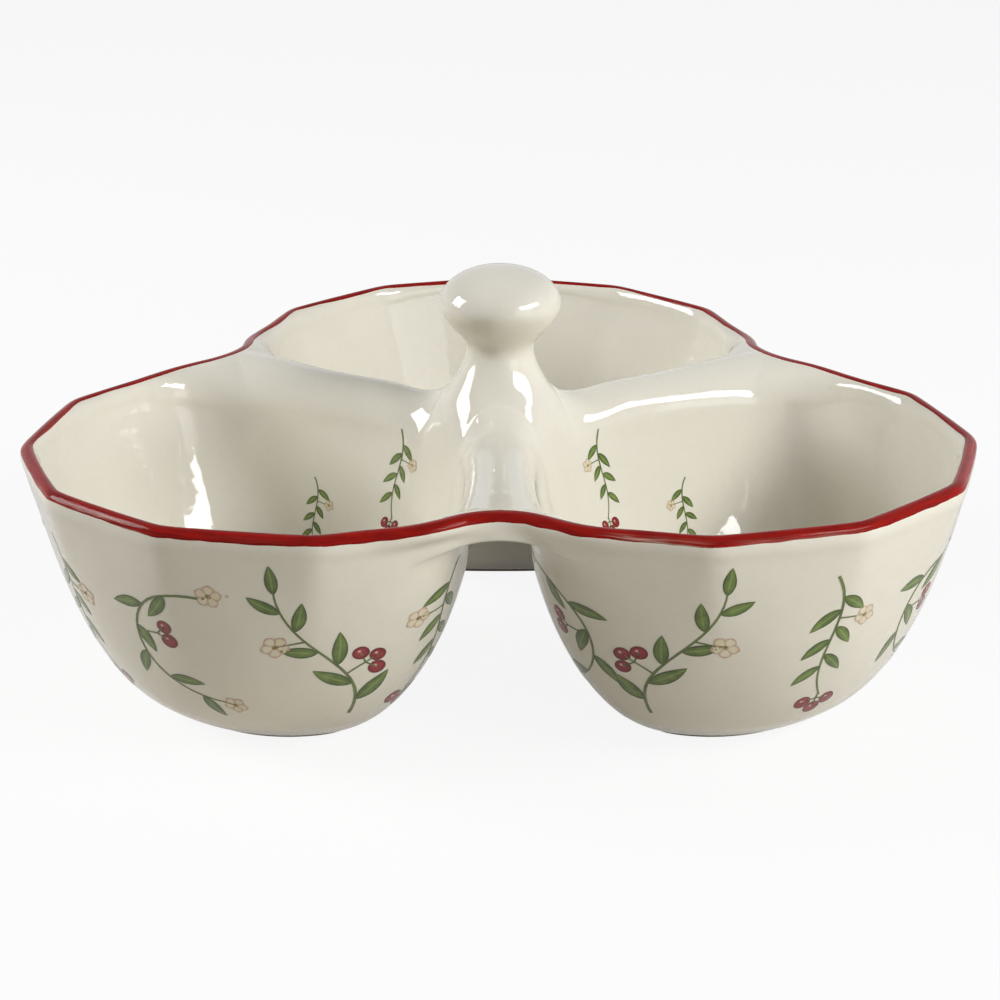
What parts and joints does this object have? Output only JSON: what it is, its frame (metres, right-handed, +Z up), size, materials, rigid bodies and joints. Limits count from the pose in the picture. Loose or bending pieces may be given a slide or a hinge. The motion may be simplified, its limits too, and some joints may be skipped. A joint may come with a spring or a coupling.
{
  "type": "divided serving bowl",
  "caption": "Divided serving bowl in glazed stoneware: deep panelled bowls joined by arched webs round a hollow post with an oval knob.",
  "frame": {"origin": "on the table, under the middle of the server's own box; the post's axis is 17 mm in front of it", "axes": "+Z up; +Y towards the back bowl; +X towards the right-hand bowl"},
  "size_m": [0.3032, 0.2874, 0.1319],
  "materials": {
    "cream_glaze": "glossy cream glaze",
    "red_glaze": "glossy red, brushed on",
    "bare_clay": "unglazed, matt"
  },
  "bodies": {
    "root": {"bowl_back": "cream_glaze", "bowl_left": "cream_glaze", "bowl_right": "cream_glaze", "handle_post": "cream_glaze", "knob": "cream_glaze", "rim_band": "red_glaze", "foot_ring_back": "bare_clay", "foot_ring_left": "bare_clay", "foot_ring_right": "bare_clay"}
  },
  "joints": []
}
